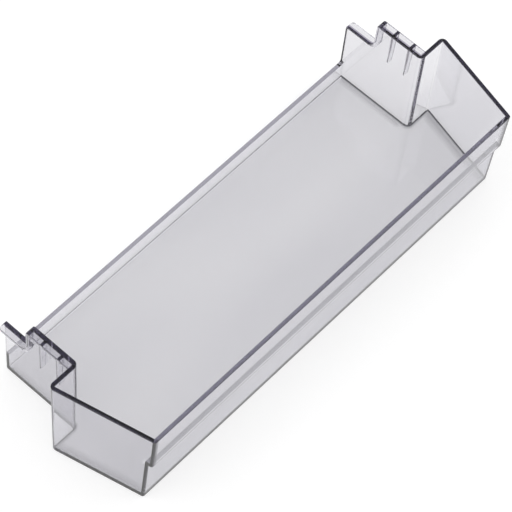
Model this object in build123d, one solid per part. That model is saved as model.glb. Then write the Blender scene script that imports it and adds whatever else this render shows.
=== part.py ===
from build123d import *
import os
from math import atan2, cos, radians, tan

# A clear moulded shelf for a refrigerator door, in one piece.
# Frame: X along the shelf, Y from the front band to the door, Z up.
# The origin lies under the middle of the box round the shelf, on the face that it stands on.
# Lengths are in millimetres, angles in degrees.

# Plan, measured at the rim between corners taken as sharp.
# The wings are the two ends of the front bay. Each stands out past the rear bay by the step,
# and slants in by the taper from its tip to the front corner.
rear_width = 396.0
wing_step = 27.0
wing_taper = 21.5
overall_depth = 160.5
wing_depth = 88.5

# Heights
rim_height = 96.0
tab_height = 67.4
rear_wall_height = 21.7

# Walls, which lean in towards the floor so that the shelf leaves its mould
wall = 3.4
floor_thickness = 3.0
end_draft = 1.25
front_draft = 1.7

# Front band, which stands proud of the wall below it
band_height = 41.0
band_step = 4.0
ledge_thickness = 3.4
ledge_radius = 1.0

# Rounding of edges and upright corners. Inside the bay only the corners at the step are round.
# An outer corner is rounder than the floor's edge by the margin, so the edge can run round it.
floor_outer_radius = 1.8
floor_inner_radius = 3.3
corner_margin = 0.4
wing_corner_radius = 4.4
step_outer_radius = 1.6
step_inner_radius = 5.0
rim_radius = 0.7

# Hooks: a flange along the stepped top line of each end wall of the rear bay
shoulder_length = 43.5
flange_width = 5.2
flange_thickness = 3.4
flange_corner_radius = 3.0
riser_radius = 6.0
shoulder_radius = 2.5
saddle_radius = 3.0

# Upright ribs under the shoulder of each flange, which thin down towards the foot
rib_count = 2
rib_thickness = 3.0
rib_foot_thickness = 0.8
rib_height = 36.0
rib_offset = 10.7
rib_pitch = 17.3

# Places and sizes that follow from the ones above
front_y = -overall_depth / 2
rear_y = overall_depth / 2 + (rim_height - tab_height) * tan(radians(end_draft))
wing_rear_y = front_y + wing_depth
shoulder_rear_y = wing_rear_y + shoulder_length
band_bottom = rim_height - band_height
rear_x = rear_width / 2
wing_tip_x = rear_x + wing_step
wing_angle = atan2(wing_taper, wing_depth)
flange_x = rear_x + flange_width
outer_corner_radius = floor_outer_radius + corner_margin

# How far a cutting shape reaches past the shelf, and how close two places must be to be one
clear = 20.0
touching = 0.01


def rounded_face(corners):
    """Flat face through corners given as (u, v, radius), in order round the outline."""
    face = make_face(Polyline([(u, v) for u, v, _ in corners], close=True)).face()
    for u, v, radius in corners:
        if radius > 0:
            place = Vector(u, v, 0)
            nearest = min(face.vertices(), key=lambda vertex: (Vector(vertex) - place).length)
            face = face.fillet_2d(radius, [nearest])
    return face


def side_profile(corners):
    """A profile given as (y, z, radius), extruded along X over the whole width of the shelf."""
    left_end = Plane(origin=(-wing_tip_x, 0, 0), x_dir=(0, 1, 0), z_dir=(1, 0, 0))
    return extrude(left_end * rounded_face(corners), amount=2 * wing_tip_x)


def upright_faces(solid):
    """Side faces of a solid, from the front to the rear."""
    return solid.faces().filter_by(lambda face: abs(face.normal_at().Z) < 0.5).sort_by(Axis.Y)


def drafted(points, bottom):
    """Solid from bottom up to an outline at the rim, with all its sides leaning in downwards."""
    outline = rounded_face([(x, y, 0) for x, y in points])
    solid = extrude(Pos(0, 0, bottom) * outline, amount=rim_height - bottom)
    rim_plane = Plane(origin=(0, 0, rim_height), z_dir=(0, 0, -1))
    solid = draft(upright_faces(solid)[1:], rim_plane, end_draft)
    return draft(upright_faces(solid)[0], rim_plane, front_draft)


def round_upright(solid, x, y, radius):
    """The solid with its upright edges under (x, y) and (-x, y) of the rim rounded."""
    def starts_there(edge):
        at_rim = [v for v in edge.vertices() if v.Z > rim_height - touching]
        return (len(at_rim) == 1 and abs(abs(at_rim[0].X) - x) < touching
                and abs(at_rim[0].Y - y) < touching)
    return fillet(solid.edges().filter_by(starts_there), radius) if radius > 0 else solid


def round_bottom(solid, radius):
    """The solid with the edges of its lowest face rounded."""
    return fillet(solid.faces().sort_by(Axis.Z)[0].edges(), radius)


def wing_x(y, inset):
    """Half width at depth y between the slanted end walls, each moved inwards by inset."""
    return wing_tip_x - (wing_rear_y - y) * tan(wing_angle) - inset / cos(wing_angle)


def tray_block(inset, step, bottom, radii):
    """
    Solid inside the tray's outline moved inwards by inset, and at the front also by step.
    The radii are those of the front, wing, step and rear corners.
    """
    block_front_y = front_y + step + inset
    corners = [
        (wing_x(block_front_y, inset), block_front_y),
        (wing_x(wing_rear_y - inset, inset), wing_rear_y - inset),
        (rear_x - inset, wing_rear_y - inset),
        (rear_x - inset, rear_y - inset),
    ]
    block = drafted(corners + [(-x, y) for x, y in reversed(corners)], bottom)
    for (x, y), radius in zip(corners, radii):
        block = round_upright(block, x, y, radius)
    return block


def outer_walls():
    """The tray as a full block: the body with its rounded floor edge, and the band round its top."""
    radii = (outer_corner_radius, wing_corner_radius, step_outer_radius, outer_corner_radius)
    body = tray_block(0, band_step, 0, radii)
    band = tray_block(0, 0, band_bottom, radii)
    return round_bottom(body, floor_outer_radius) + round_bottom(band, ledge_radius)


def bay():
    """What the tray holds: the space between the walls, wider above the ledge."""
    radii = (0, 0, step_inner_radius, 0)
    ledge_height = band_bottom + ledge_thickness
    below = tray_block(wall, band_step, floor_thickness, radii)
    above = tray_block(wall, 0, ledge_height, radii)
    space = round_bottom(below, floor_inner_radius) + above
    ledge_edge = space.edges().filter_by(
        lambda edge: abs(edge.center().Z - ledge_height) < touching).filter_by(Axis.X).sort_by(Axis.Y)[-1]
    return fillet(ledge_edge, ledge_radius)


def rear_opening():
    """The gap above the low rear wall, from one end wall to the other."""
    side_x = rear_x - wall
    outline = [(side_x, 0), (side_x, rear_y + clear), (-side_x, rear_y + clear), (-side_x, 0)]
    gap = drafted(outline, rear_wall_height)
    return fillet(gap.faces().sort_by(Axis.Z)[0].edges().filter_by(Axis.Y), saddle_radius)


def above_top_line(drop):
    """All that lies over the stepped top line of the end walls, moved inwards by drop."""
    return side_profile([
        (rear_y + clear, tab_height - drop, 0),
        (shoulder_rear_y - drop, tab_height - drop, riser_radius + drop),
        (shoulder_rear_y - drop, rim_height - drop, max(shoulder_radius - drop, 0)),
        (front_y, rim_height - drop, 0),
        (front_y, rim_height + clear, 0),
        (rear_y + clear, rim_height + clear, 0),
    ])


def rib(y):
    """A rib at depth y, along X over the whole width of the shelf."""
    foot = rim_height - rib_height
    return side_profile([
        (y - rib_thickness / 2, rim_height, 0),
        (y + rib_thickness / 2, rim_height, 0),
        (y + rib_foot_thickness / 2, foot, 0),
        (y - rib_foot_thickness / 2, foot, 0),
    ])


def hook():
    """
    Right-hand flange and its ribs, up to the rim's height.
    It starts inside the tray's walls; the top line and the bay are cut from it afterwards.
    """
    start_y = wing_rear_y - wall / 2
    block = drafted([(0, start_y), (flange_x, start_y), (flange_x, rear_y), (0, rear_y)], 0)
    block = round_upright(block, flange_x, rear_y, flange_corner_radius)
    flange = block & above_top_line(flange_thickness)
    for index in range(rib_count):
        flange = flange + (rib(wing_rear_y + rib_offset + index * rib_pitch) & block)
    return flange


def round_rim(shelf):
    """The shelf with both edges of its rim rounded, and so those of the hooks' top line."""
    seam_y = shoulder_rear_y - shoulder_radius
    top = shelf.edges().filter_by(lambda edge: edge.bounding_box().min.Z > rim_height - touching)
    return fillet(top.filter_by(lambda edge: abs(edge.center().Y - seam_y) > touching), rim_radius)


def door_shelf():
    """The whole shelf."""
    right_hook = hook()
    outside = outer_walls() + right_hook + mirror(right_hook, about=Plane.YZ)
    return round_rim(outside - above_top_line(0) - (bay() + rear_opening()))


os.makedirs("parts", exist_ok=True)
export_step(door_shelf(), "parts/door_shelf.step")
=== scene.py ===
import logging
import math
from dataclasses import dataclass
from enum import Enum
from functools import reduce

import bpy
from mathutils import Matrix, Vector

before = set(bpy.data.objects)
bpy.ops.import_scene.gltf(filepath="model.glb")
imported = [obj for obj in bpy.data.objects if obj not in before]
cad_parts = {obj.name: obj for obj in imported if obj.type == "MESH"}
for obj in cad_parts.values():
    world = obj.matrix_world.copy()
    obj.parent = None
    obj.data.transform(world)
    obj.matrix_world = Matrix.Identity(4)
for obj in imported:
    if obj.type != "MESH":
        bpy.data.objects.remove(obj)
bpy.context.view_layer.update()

log = logging.getLogger("door_shelf_scene")

Colour = tuple[float, float, float, float]
Triple = tuple[float, float, float]
Span = tuple[float, float]
Socket = bpy.types.NodeSocket
Tree = bpy.types.NodeTree

WHITE: Colour = (1.0, 1.0, 1.0, 1.0)
BEFORE_FIRST_BOUNCE = 0.5


def empty_material(name: str) -> tuple[bpy.types.Material, Tree]:
    """Add a material with nothing in its node tree.

    Args:
        name: The material's name.

    Returns:
        The material and its node tree.
    """
    material = bpy.data.materials.new(name)
    material.use_nodes = True
    material.node_tree.nodes.clear()
    return material, material.node_tree


def combine(tree: Tree, operation: str, first: Socket, second: Socket | float) -> Socket:
    """Add a Math node.

    Args:
        tree: The tree to add it to.
        operation: The operation's name, as Blender has it.
        first: The first value.
        second: The second value, a socket or a plain number.

    Returns:
        The result.
    """
    node = tree.nodes.new("ShaderNodeMath")
    node.operation = operation
    tree.links.new(first, node.inputs[0])
    if isinstance(second, Socket):
        tree.links.new(second, node.inputs[1])
    else:
        node.inputs[1].default_value = second
    return node.outputs[0]


def combine_all(tree: Tree, operation: str, values: list[Socket]) -> Socket:
    """Add Math nodes that take up one value after the other.

    Args:
        tree: The tree to add them to.
        operation: The operation's name, as Blender has it.
        values: The values, one or more.

    Returns:
        The result.
    """
    return reduce(lambda first, second: combine(tree, operation, first, second), values)


def blend(tree: Tree, share: Socket, low: Socket | float, high: Socket | float,
          span: Span = (0.0, 1.0)) -> Socket:
    """Add a Map Range node that goes from one value to another.

    Args:
        tree: The tree to add it to.
        share: The value that chooses between the two.
        low: The result where the share is at the start of the span or before it.
        high: The result where the share is at the end of the span or past it.
        span: The share's span.

    Returns:
        The blended value.
    """
    node = tree.nodes.new("ShaderNodeMapRange")
    tree.links.new(share, node.inputs["Value"])
    node.inputs["From Min"].default_value, node.inputs["From Max"].default_value = span
    for name, value in (("To Min", low), ("To Max", high)):
        if isinstance(value, Socket):
            tree.links.new(value, node.inputs[name])
        else:
            node.inputs[name].default_value = value
    return node.outputs["Result"]


def paint(tree: Tree, under: Socket | Colour, over: Colour, mask: Socket) -> Socket:
    """Add a Mix node that lays one colour over another.

    Args:
        tree: The tree to add it to.
        under: The colour below, a socket or a plain colour.
        over: The colour on top.
        mask: Where the top colour shows, from 0 to 1.

    Returns:
        The mixed colour.
    """
    mix = tree.nodes.new("ShaderNodeMix")
    mix.data_type = "RGBA"
    tree.links.new(mask, mix.inputs["Factor"])
    lower, upper = (socket for socket in mix.inputs if socket.type == "RGBA")
    if isinstance(under, Socket):
        tree.links.new(under, lower)
    else:
        lower.default_value = under
    upper.default_value = over
    return next(socket for socket in mix.outputs if socket.type == "RGBA")


def split(tree: Tree, vector: Socket) -> tuple[Socket, ...]:
    """Add a node that takes a vector apart.

    Args:
        tree: The tree to add it to.
        vector: The vector.

    Returns:
        Its three parts.
    """
    node = tree.nodes.new("ShaderNodeSeparateXYZ")
    tree.links.new(vector, node.inputs["Vector"])
    return tuple(node.outputs)


def noise(tree: Tree, place: Socket, size: float, detail: float) -> Socket:
    """Add a noise pattern.

    Args:
        tree: The tree to add it to.
        place: The coordinates that the pattern follows.
        size: Size of one patch in metres.
        detail: Number of finer octaves.

    Returns:
        The noise's value, from 0 to 1.
    """
    node = tree.nodes.new("ShaderNodeTexNoise")
    node.inputs["Scale"].default_value = 1.0 / size
    node.inputs["Detail"].default_value = detail
    tree.links.new(place, node.inputs["Vector"])
    return node.outputs["Fac"]


class Ray(Enum):
    """Kinds of ray for which the studio shows its plain white instead of its light."""

    CAMERA = "Is Camera Ray"
    GLOSSY = "Is Glossy Ray"
    TRANSMISSION = "Is Transmission Ray"


def seen_directly(tree: Tree) -> Socket:
    """Add nodes that tell whether the studio is seen, mirrored or seen through plastic.

    Args:
        tree: The node tree of the floor's material or of the world.

    Returns:
        A socket that is 1 for the rays named in Ray and 0 for those that carry light.
    """
    path = tree.nodes.new("ShaderNodeLightPath")
    shown = combine_all(tree, "MAXIMUM", [path.outputs[ray.value] for ray in Ray])
    unscattered = combine(tree, "LESS_THAN", path.outputs["Diffuse Depth"], BEFORE_FIRST_BOUNCE)
    return combine(tree, "MULTIPLY", shown, unscattered)


class Measure(Enum):
    """What a gate follows: a place on the shelf in metres, or how a surface faces.

    The end walls lean in downwards, so ASIDE and WING are moved out to where they
    would be at the rim, and OFF_RIB to where the rib's side would be there.
    """

    ALONG = "from the middle to the right"
    ASIDE = "out from the middle, to either end"
    WING = "out from the middle, measured where the wing is widest"
    DEPTH = "from the front to the rear"
    OFF_CENTRE = "from the middle to the front or the rear"
    OFF_RIB = "from the rear side of the nearest rib"
    HEIGHT = "up from the underside"
    FACES_END = "1 on a surface that faces an end"
    FACES_FRONT = "1 on a surface that faces the front or the rear"
    FACES_UP = "1 on a level surface"
    TURNED = "how far FACES_FRONT is over FACES_END"


@dataclass(frozen=True)
class ShelfMeasures:
    """The shelf's own sizes that its measures need, in metres or as slopes."""

    rim_top: float = 0.096
    end_lean: float = 0.0218
    wing_rear: float = 0.00825
    wing_slant: float = 0.2429
    rib_rears: tuple[float, ...] = (0.02045, 0.03775)
    rib_lean: float = 0.0306

    def build(self, tree: Tree, place: Socket) -> dict[Measure, Socket]:
        """Add the measures.

        Args:
            tree: The material's node tree.
            place: The coordinates that the measures follow.

        Returns:
            A socket for each measure.
        """
        along, depth, height = split(tree, place)
        normal = tree.nodes.new("ShaderNodeNewGeometry").outputs["Normal"]
        faces_end, faces_front, faces_up = (
            combine(tree, "ABSOLUTE", part, 0.0) for part in split(tree, normal))
        drop = combine(tree, "MULTIPLY", combine(tree, "SUBTRACT", height, self.rim_top), -1.0)
        aside = combine(tree, "ADD", combine(tree, "ABSOLUTE", along, 0.0),
                        combine(tree, "MULTIPLY", drop, self.end_lean))
        ahead_of_wing_rear = combine(tree, "SUBTRACT", depth, self.wing_rear)
        slant = combine(tree, "MULTIPLY", ahead_of_wing_rear, -self.wing_slant)
        upright = combine(tree, "ADD", depth, combine(tree, "MULTIPLY", drop, self.rib_lean))
        off_ribs = [combine(tree, "ABSOLUTE", combine(tree, "SUBTRACT", upright, rear), 0.0)
                    for rear in self.rib_rears]
        return {
            Measure.ALONG: along,
            Measure.ASIDE: aside,
            Measure.WING: combine(tree, "ADD", aside, slant),
            Measure.DEPTH: depth,
            Measure.OFF_CENTRE: combine(tree, "ABSOLUTE", depth, 0.0),
            Measure.OFF_RIB: combine_all(tree, "MINIMUM", off_ribs),
            Measure.HEIGHT: height,
            Measure.FACES_END: faces_end,
            Measure.FACES_FRONT: faces_front,
            Measure.FACES_UP: faces_up,
            Measure.TURNED: combine(tree, "SUBTRACT", faces_front, faces_end),
        }


Gate = tuple[Measure, Span]

ON_END_WALL: Gate = (Measure.FACES_END, (0.5, 0.8))
ON_FRONT_WALL: Gate = (Measure.FACES_FRONT, (0.5, 0.8))
BEHIND_JOG: Gate = (Measure.DEPTH, (0.0085, 0.0120))
ABOVE_BAND_EDGE: Gate = (Measure.HEIGHT, (0.0548, 0.0552))
ON_FLANGE_SIDE: Gate = (Measure.ASIDE, (0.2026, 0.2029))
ABOVE_RIB_FOOT: Gate = (Measure.HEIGHT, (0.0595, 0.0600))


@dataclass(frozen=True)
class Zone:
    """A part of the shelf painted in a colour of its own; most zones are painted shade, one is
    painted light.

    A gate is shut before its span and open past it. A patch of the zone is where
    all of its gates are open, and the gates that all patches share are given once.
    """

    colour: Colour
    shared: tuple[Gate, ...]
    patches: tuple[tuple[Gate, ...], ...] = ()

    def mask(self, tree: Tree, measures: dict[Measure, Socket]) -> Socket:
        """Add the zone's mask.

        Args:
            tree: The material's node tree.
            measures: The measures that the gates follow.

        Returns:
            The mask, from 0 to 1.
        """
        def all_open(gates: tuple[Gate, ...]) -> Socket:
            """Return a mask that is 1 where all the gates are open."""
            return combine_all(tree, "MULTIPLY", [
                blend(tree, measures[measure], 0.0, 1.0, span) for measure, span in gates])

        parts = [all_open(self.shared)] if self.shared else []
        if self.patches:
            parts.append(combine_all(tree, "MAXIMUM", [all_open(patch) for patch in self.patches]))
        return combine_all(tree, "MULTIPLY", parts)


# Painted shade: the end walls behind the jog are painted a little darker than the other walls.
REAR_END_WALL_SHADE = Zone(
    colour=(0.86, 0.857, 0.872, 1.0),
    shared=(ON_END_WALL, BEHIND_JOG),
)
# Painted shade: the end walls are painted darker towards the front of the wings.
WING_FRONT_SHADE = Zone(
    colour=(0.81, 0.807, 0.828, 1.0),
    shared=(ON_END_WALL, (Measure.DEPTH, (0.0, -0.065))),
)
# Painted shadow: the top of the floor is painted darker within a few millimetres of the end walls.
FLOOR_SHADE_BY_THE_ENDS = Zone(
    colour=(0.46, 0.455, 0.48, 1.0),
    shared=((Measure.HEIGHT, (0.0015, 0.0025)), (Measure.HEIGHT, (0.0038, 0.0031))),
    patches=(
        ((Measure.ASIDE, (0.1880, 0.1935)), BEHIND_JOG),
        ((Measure.WING, (0.2125, 0.2185)),),
    ),
)
# Painted light: the ledge on the front band and the faces of the jogs are painted clear white,
# lighter than the walls.
LEDGE_AND_JOG_LIGHT = Zone(
    colour=WHITE,
    shared=(),
    patches=(
        ((Measure.HEIGHT, (0.0540, 0.0545)), (Measure.HEIGHT, (0.0610, 0.0600)),
         (Measure.DEPTH, (-0.0700, -0.0710))),
        (ON_FRONT_WALL, (Measure.ASIDE, (0.1970, 0.1985)),
         (Measure.DEPTH, (0.0035, 0.0040)), (Measure.DEPTH, (0.0095, 0.0090))),
    ),
)
# Painted shade: the curved edges low down where the floor meets the walls are painted nearly
# black, as the dark line they show by refraction.
FLOOR_EDGE_SHADE = Zone(
    colour=(0.08, 0.077, 0.09, 1.0),
    shared=((Measure.HEIGHT, (0.0066, 0.0060)), (Measure.FACES_UP, (0.999, 0.5)),
            (Measure.FACES_UP, (0.12, 0.3))),
    patches=(
        ((Measure.FACES_END, (0.05, 0.3)),),
        ((Measure.OFF_CENTRE, (0.065, 0.055)),),
    ),
)
# Painted shade: the curved corners of the steps near the ends are painted dark, as the dark line
# they show by refraction.
STEP_EDGE_SHADE = Zone(
    colour=(0.12, 0.115, 0.14, 1.0),
    shared=((Measure.TURNED, (0.3, 0.42)), (Measure.TURNED, (0.95, 0.85)),
            (Measure.ASIDE, (0.1940, 0.1945)), (Measure.ASIDE, (0.2006, 0.2000)),
            (Measure.DEPTH, (0.0040, 0.0044)), (Measure.DEPTH, (0.0112, 0.0104))),
)
# Painted shade: the level tops of the rims and tabs are painted dark violet, as they look dark
# from above.
RIM_TOP_SHADE = Zone(
    colour=(0.2, 0.18, 0.25, 1.0),
    shared=((Measure.HEIGHT, (0.060, 0.062)), (Measure.FACES_UP, (0.2, 0.5)),
            (Measure.DEPTH, (-0.0768, -0.0762))),
    patches=(
        ((Measure.ASIDE, (0.1982, 0.1978)),),
        ((Measure.DEPTH, (0.0086, 0.0082)),),
    ),
)
# Painted shade: the rounded edges of the top rim are painted dark, as the dark lines they show by
# refraction.
RIM_EDGE_SHADE = Zone(
    colour=(0.25, 0.24, 0.3, 1.0),
    shared=((Measure.HEIGHT, (0.0945, 0.0950)), (Measure.FACES_UP, (0.995, 0.93))),
)
# Painted shade: a dark line painted on the rear side of each rib on the flanges.
RIB_EDGE_SHADE = Zone(
    colour=(0.14, 0.135, 0.15, 1.0),
    shared=(ON_FLANGE_SIDE, ABOVE_RIB_FOOT, (Measure.HEIGHT, (0.0926, 0.0920)),
            (Measure.OFF_RIB, (0.0010, 0.0008))),
)
# Painted shade: the feet of the ribs are painted nearly black.
RIB_FOOT_SHADE = Zone(
    colour=(0.03, 0.029, 0.033, 1.0),
    shared=(ON_FLANGE_SIDE, ABOVE_RIB_FOOT, (Measure.HEIGHT, (0.0624, 0.0618)),
            (Measure.OFF_RIB, (0.0018, 0.0014))),
)
# Painted shade: dark strips painted on the ends of the front band above its edge.
BAND_END_SHADE = Zone(
    colour=(0.15, 0.142, 0.165, 1.0),
    shared=((Measure.ASIDE, (0.1998, 0.2003)), (Measure.DEPTH, (-0.0775, -0.0785)),
            ABOVE_BAND_EDGE),
)
# Painted shade: a dark strip painted on the front face of the band near its right-hand end.
BAND_RIGHT_SIDE_SHADE = Zone(
    colour=(0.16, 0.154, 0.168, 1.0),
    shared=((Measure.ALONG, (0.1935, 0.1985)), (Measure.DEPTH, (-0.0780, -0.0784)),
            ABOVE_BAND_EDGE),
)


@dataclass(frozen=True)
class ClearPlastic:
    """Polished, slightly smoky styrene plastic, tinted in its depth.

    The tint is an absorption, so a thin wall looks nearly clear and a long way
    through the plastic, such as down into the rim, looks almost black. The zones
    are painted shade and light on top of that: darker colour painted on walls,
    edges, rims and ribs where the real shelf looks dark from refraction and shadow,
    and clear white painted on the ledge and jogs to lighten them. Each lies over
    the ones before it.
    """

    name: str = "clear_smoky_plastic"
    refractive_index: float = 1.55
    absorption_per_metre: float = 40.0
    absorption_colour: Colour = (0.38, 0.36, 0.47, 1.0)
    wall_colour: Colour = (0.90, 0.897, 0.915, 1.0)
    cloud_colour: Colour = (0.85, 0.847, 0.872, 1.0)
    cloud_size: float = 0.09
    cloud_detail: float = 1.0
    cloud_stretch: Triple = (0.35, 1.0, 1.0)
    cloud_span: Span = (0.35, 0.65)
    polish: float = 0.012
    scuffing: float = 0.03
    scuff_size: float = 0.006
    scuff_detail: float = 3.0
    scuff_span: Span = (0.55, 0.8)
    ripple_size: float = 0.05
    ripple_detail: float = 1.0
    ripple_height: float = 0.00003
    measures: ShelfMeasures = ShelfMeasures()
    zones: tuple[Zone, ...] = (
        REAR_END_WALL_SHADE, WING_FRONT_SHADE, FLOOR_SHADE_BY_THE_ENDS, LEDGE_AND_JOG_LIGHT, FLOOR_EDGE_SHADE, STEP_EDGE_SHADE,
        RIM_TOP_SHADE, RIM_EDGE_SHADE, RIB_EDGE_SHADE, RIB_FOOT_SHADE, BAND_END_SHADE, BAND_RIGHT_SIDE_SHADE,
    )

    def build(self) -> bpy.types.Material:
        """Build the plastic's material.

        Returns:
            The material, reading Object coordinates.
        """
        material, tree = empty_material(self.name)
        place = tree.nodes.new("ShaderNodeTexCoord").outputs["Object"]
        shader = tree.nodes.new("ShaderNodeBsdfPrincipled")
        shader.inputs["IOR"].default_value = self.refractive_index
        shader.inputs["Transmission Weight"].default_value = 1.0
        tree.links.new(self._colour(tree, place), shader.inputs["Base Color"])
        tree.links.new(self._roughness(tree, place), shader.inputs["Roughness"])
        tree.links.new(self._normal(tree, place), shader.inputs["Normal"])
        tint = tree.nodes.new("ShaderNodeVolumeAbsorption")
        tint.inputs["Color"].default_value = self.absorption_colour
        tint.inputs["Density"].default_value = self.absorption_per_metre
        output = tree.nodes.new("ShaderNodeOutputMaterial")
        tree.links.new(shader.outputs["BSDF"], output.inputs["Surface"])
        tree.links.new(tint.outputs["Volume"], output.inputs["Volume"])
        return material

    def _colour(self, tree: Tree, place: Socket) -> Socket:
        """Add the colour: faintly grey and clouded walls, with the zones' painted shade and light
        over them.

        Args:
            tree: The material's node tree.
            place: The coordinates that the colour follows.

        Returns:
            The colour.
        """
        stretch = tree.nodes.new("ShaderNodeMapping")
        stretch.inputs["Scale"].default_value = self.cloud_stretch
        tree.links.new(place, stretch.inputs["Vector"])
        flow = noise(tree, stretch.outputs["Vector"], self.cloud_size, self.cloud_detail)
        clouds = blend(tree, flow, 0.0, 1.0, self.cloud_span)
        colour = paint(tree, self.wall_colour, self.cloud_colour, clouds)
        measures = self.measures.build(tree, place)
        # Lay each zone's painted shade or painted light over the walls.
        for zone in self.zones:
            colour = paint(tree, colour, zone.colour, zone.mask(tree, measures))
        return colour

    def _roughness(self, tree: Tree, place: Socket) -> Socket:
        """Add the roughness: mould polish with faint scuffed patches.

        Args:
            tree: The material's node tree.
            place: The coordinates that the patches follow.

        Returns:
            The roughness.
        """
        patches = noise(tree, place, self.scuff_size, self.scuff_detail)
        return blend(tree, patches, self.polish, self.scuffing, self.scuff_span)

    def _normal(self, tree: Tree, place: Socket) -> Socket:
        """Add the faint ripple that cooling leaves in a moulded wall.

        Args:
            tree: The material's node tree.
            place: The coordinates that the ripple follows.

        Returns:
            The rippled normal.
        """
        bump = tree.nodes.new("ShaderNodeBump")
        bump.inputs["Strength"].default_value = 1.0
        bump.inputs["Distance"].default_value = self.ripple_height
        ripple = noise(tree, place, self.ripple_size, self.ripple_detail)
        tree.links.new(ripple, bump.inputs["Height"])
        return bump.outputs["Normal"]


@dataclass(frozen=True)
class WhiteFloor:
    """Matt white paper that still takes the shelf's shadow where it is seen."""

    name: str = "white_paper"
    paper_colour: Colour = (0.4, 0.4, 0.4, 1.0)
    roughness: float = 0.9
    seen_glow: float = 0.66

    def build(self) -> bpy.types.Material:
        """Build the floor's material.

        Returns:
            The material.
        """
        material, tree = empty_material(self.name)
        paper = tree.nodes.new("ShaderNodeBsdfPrincipled")
        paper.inputs["Base Color"].default_value = self.paper_colour
        paper.inputs["Roughness"].default_value = self.roughness
        paper.inputs["Specular IOR Level"].default_value = 0.0
        paper.inputs["Emission Color"].default_value = WHITE
        glow = combine(tree, "MULTIPLY", seen_directly(tree), self.seen_glow)
        tree.links.new(glow, paper.inputs["Emission Strength"])
        output = tree.nodes.new("ShaderNodeOutputMaterial")
        tree.links.new(paper.outputs["BSDF"], output.inputs["Surface"])
        return material


@dataclass(frozen=True)
class SoftLamp:
    """A square soft box that points at the shelf, in metres and watts."""

    name: str
    place: Triple
    side: float
    watts: float

    def build(self) -> bpy.types.Object:
        """Add the lamp.

        Returns:
            The lamp's object.
        """
        data = bpy.data.lights.new(self.name, "AREA")
        data.shape = "SQUARE"
        data.size = self.side
        data.energy = self.watts
        lamp = bpy.data.objects.new(self.name, data)
        lamp.location = self.place
        lamp.rotation_euler = (-Vector(self.place)).to_track_quat("-Z", "Y").to_euler()
        bpy.context.scene.collection.objects.link(lamp)
        return lamp


@dataclass
class Studio:
    """Plain white surroundings: a floor, an even sky and soft lamps."""

    floor_side: float = 12.0
    floor_gap: float = 0.0004
    floor_finish: WhiteFloor = WhiteFloor()
    sky_strength: float = 0.8
    white_strength: float = 1.0
    ceiling_strength: float = 0.42
    ceiling_rise: Span = (0.2, 0.5)
    lamps: tuple[SoftLamp, ...] = (
        SoftLamp("key_lamp", (-1.2, 0.6, 2.2), 1.6, 14.0),
        SoftLamp("fill_lamp", (1.5, -1.0, 1.8), 1.6, 8.0),
    )
    bounces: int = 32
    plastic_bounces: int = 24

    def build(self) -> None:
        """Build the floor, the sky and the lamps, and set how deep light is followed."""
        self._floor()
        self._sky()
        for lamp in self.lamps:
            lamp.build()
        scene = bpy.context.scene
        scene.view_settings.view_transform = "Standard"
        scene.cycles.max_bounces = self.bounces
        scene.cycles.glossy_bounces = self.plastic_bounces
        scene.cycles.transmission_bounces = self.plastic_bounces

    def _floor(self) -> None:
        """Lay the floor just under the shelf."""
        bpy.ops.object.select_all(action="DESELECT")
        bpy.ops.mesh.primitive_plane_add(size=self.floor_side, location=(0.0, 0.0, 0.0))
        floor = bpy.context.active_object
        floor.name = "studio_floor"
        for corner in floor.data.vertices:
            corner.co.z -= self.floor_gap
        floor.data.materials.append(self.floor_finish.build())

    def _sky(self) -> None:
        """Make the even light from all round.

        The camera sees it white. What the plastic mirrors or lets through is white
        too up to the ceiling, which is darker, as in a room with a lit table.
        """
        world = bpy.data.worlds.new("studio_sky")
        world.use_nodes = True
        tree = world.node_tree
        tree.nodes.clear()
        *_, rise = split(tree, tree.nodes.new("ShaderNodeTexCoord").outputs["Generated"])
        room = blend(tree, rise, self.white_strength, self.ceiling_strength, self.ceiling_rise)
        camera = tree.nodes.new("ShaderNodeLightPath").outputs[Ray.CAMERA.value]
        shown = blend(tree, camera, room, self.white_strength)
        sky = tree.nodes.new("ShaderNodeBackground")
        sky.inputs["Color"].default_value = WHITE
        strength = blend(tree, seen_directly(tree), self.sky_strength, shown)
        tree.links.new(strength, sky.inputs["Strength"])
        output = tree.nodes.new("ShaderNodeOutputWorld")
        tree.links.new(sky.outputs["Background"], output.inputs["Surface"])
        bpy.context.scene.world = world


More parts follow.
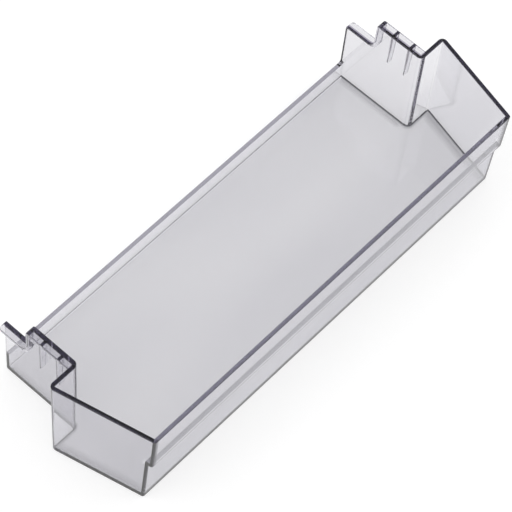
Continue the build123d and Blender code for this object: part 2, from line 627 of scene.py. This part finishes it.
@dataclass
class PhotoCamera:
    """The camera of the photograph, in metres and degrees, with its lens in millimetres."""

    place: Triple = (-0.963008, -0.674919, 1.908015)
    azimuth: float = -145.014
    elevation: float = 57.959
    roll: float = 8.496
    lens: float = 199.43
    sensor: float = 36.0
    nearest: float = 0.05
    farthest: float = 50.0

    def build(self) -> bpy.types.Object:
        """Add the camera and make it the scene's.

        Returns:
            The camera's object.
        """
        data = bpy.data.cameras.new("photo_camera")
        data.sensor_width = self.sensor
        data.lens = self.lens
        data.clip_start = self.nearest
        data.clip_end = self.farthest
        camera = bpy.data.objects.new("photo_camera", data)
        camera.matrix_world = Matrix.Translation(self.place) @ self._turn().to_4x4()
        bpy.context.scene.collection.objects.link(camera)
        bpy.context.scene.camera = camera
        return camera

    def _turn(self) -> Matrix:
        """Work out the camera's turn from its viewing angles.

        Returns:
            The rotation matrix, whose columns are right, up and back.
        """
        azimuth, elevation, roll = map(math.radians, (self.azimuth, self.elevation, self.roll))
        back = Vector((
            math.cos(elevation) * math.cos(azimuth),
            math.cos(elevation) * math.sin(azimuth),
            math.sin(elevation),
        ))
        level_right = Vector((0.0, 0.0, 1.0)).cross(back).normalized()
        level_up = back.cross(level_right)
        right = math.cos(roll) * level_right + math.sin(roll) * level_up
        up = back.cross(right)
        return Matrix((right, up, back)).transposed()


@dataclass
class DoorShelf:
    """The moulded shelf, which is the CAD node dressed in its plastic."""

    node: str = "door_shelf"
    plastic: ClearPlastic = ClearPlastic()

    def build(self) -> bpy.types.Object:
        """Dress the node.

        Returns:
            The node's object.
        """
        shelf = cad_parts[self.node]
        shelf.data.materials.clear()
        shelf.data.materials.append(self.plastic.build())
        return shelf


def main() -> None:
    """Build the scene in order."""
    logging.basicConfig(level=logging.INFO)
    shelf = DoorShelf().build()
    log.info("dressed %s with %d faces", shelf.name, len(shelf.data.polygons))
    Studio().build()
    log.info("built the studio")
    camera = PhotoCamera().build()
    log.info("placed %s", camera.name)


if __name__ == "__main__":
    main()
